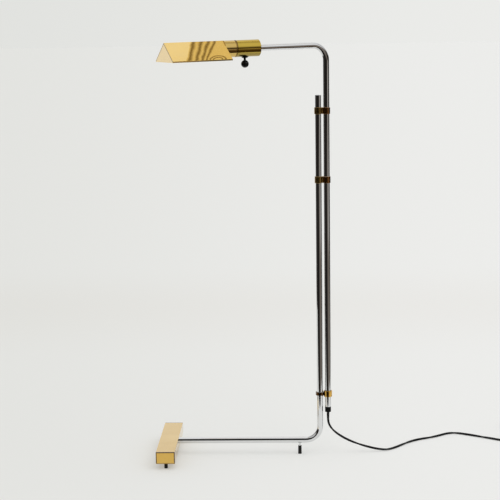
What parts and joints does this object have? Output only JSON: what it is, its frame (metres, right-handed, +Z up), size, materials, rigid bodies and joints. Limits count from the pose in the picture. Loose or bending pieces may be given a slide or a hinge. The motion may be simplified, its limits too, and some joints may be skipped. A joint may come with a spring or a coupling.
{
  "type": "floor lamp",
  "caption": "Reading floor lamp with a weighted brass bar foot, two parallel chrome tubes in brass sliding brackets, a swing arm and a turning tent shade.",
  "frame": {"origin": "centre of the rear foot's face on the floor", "axes": "+Z up, +X along the foot rod from the bar towards the posts, -Y the front that the shade is swung towards"},
  "size_m": [1.0205, 0.5106, 1.0957],
  "materials": {
    "polished_brass": "polished, clear lacquered",
    "chrome_tube": "bright chrome plate",
    "chrome_small": "bright chrome plate",
    "black_rubber": "matt moulded rubber",
    "steel_inner": "plain machined steel",
    "white_nylon": "turned nylon",
    "black_plastic": "moulded, glossy black",
    "black_flex": "satin extruded cord jacket",
    "holder_phenolic": "moulded phenolic",
    "brass_inner": "plain turned brass",
    "bulb_cap": "spun aluminium",
    "bulb_glass": "frosted inside"
  },
  "bodies": {
    "base": {"bar_shell": "polished_brass", "bar_end_front": "polished_brass", "bar_end_rear": "polished_brass", "ballast_block": "steel_inner", "rod_anchor": "steel_inner", "anchor_set_screws": "steel_inner", "bar_foot_studs": "chrome_small", "bar_foot_pads": "black_rubber", "rear_foot_stud": "chrome_small", "rear_foot_slug": "steel_inner", "rear_foot_pad": "black_rubber", "base_tube": "chrome_tube", "post_plug": "chrome_small", "upper_bracket": "polished_brass", "upper_liner": "white_nylon", "upper_grub_screw": "steel_inner", "middle_bracket": "polished_brass", "middle_liner": "white_nylon", "middle_grub_screw": "steel_inner", "power_cord": "black_flex", "cord_coil": "black_flex", "cord_tail": "black_flex", "plug_body": "black_plastic", "plug_blades": "brass_inner"},
    "slider": {"slider_bracket": "polished_brass", "slider_post_liner": "white_nylon", "slider_arm_liner": "white_nylon"},
    "arm": {"arm_tube": "chrome_tube", "retaining_rings": "chrome_small", "tube_end_cap": "black_plastic", "strain_relief": "black_rubber", "inner_lead": "black_flex", "arm_end_plug": "brass_inner", "hollow_nipple": "brass_inner", "nipple_nut": "brass_inner", "socket_cover": "polished_brass", "lamp_holder": "holder_phenolic", "screw_shell": "brass_inner", "centre_contact": "brass_inner", "bulb_cap": "bulb_cap", "bulb_glass": "bulb_glass", "switch_bushing": "black_plastic", "swivel_sleeve": "brass_inner", "snap_ring": "steel_inner"},
    "shade": {"shade_collar": "polished_brass", "shade_tent": "polished_brass", "shade_end_inner": "polished_brass", "shade_end_outer": "polished_brass", "collar_rivets": "brass_inner"},
    "knob": {"knob_spindle": "black_plastic", "knob_ball": "black_plastic"}
  },
  "joints": [
    {"name": "height_slide", "type": "slide", "parent": "base", "child": "slider", "axis": [0, 0, 1], "range_m": [0, 0.55]},
    {"name": "arm_swing", "type": "hinge", "parent": "slider", "child": "arm", "pos_m": [0.0755, 0, 0.1645], "axis": [0, 0, 1], "range_deg": [-170, 170]},
    {"name": "shade_turn", "type": "hinge", "parent": "arm", "child": "shade", "pos_m": [-0.15285, -0.10167, 1.07364], "axis": [-0.9134, -0.4067, -0.0175], "range_deg": [-90, 90]},
    {"name": "switch_knob", "type": "hinge", "parent": "arm", "child": "knob", "pos_m": [-0.1291, -0.09109, 1.07409], "axis": [-0.0159, -0.0071, 0.9998], "continuous": true}
  ]
}
